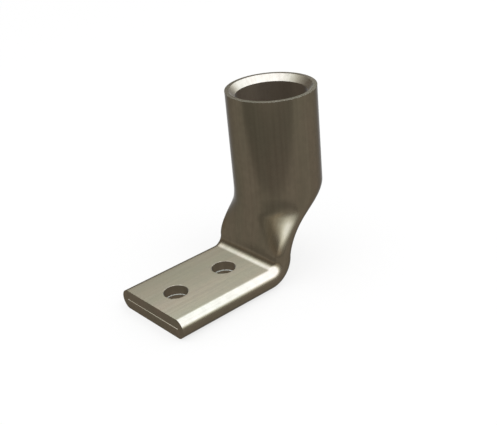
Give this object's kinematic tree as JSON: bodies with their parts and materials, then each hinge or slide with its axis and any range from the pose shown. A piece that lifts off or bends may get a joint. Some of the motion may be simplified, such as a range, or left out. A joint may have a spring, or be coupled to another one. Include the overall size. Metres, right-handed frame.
{
  "type": "cable lug",
  "caption": "Right-angle crimp lug formed from copper tube: a flared round barrel for the cable and a flattened tongue pierced for bolts.",
  "frame": {"origin": "on the mounting face, midway between the bolt holes", "axes": "+X along the tongue from its tip to the bend, +Y across the tongue, +Z away from the mounting face and along the barrel to its mouth"},
  "size_m": [0.0915, 0.0406, 0.0784],
  "materials": {
    "tinned_copper": "satin"
  },
  "bodies": {
    "root": {"lug_body": "tinned_copper"}
  },
  "joints": []
}
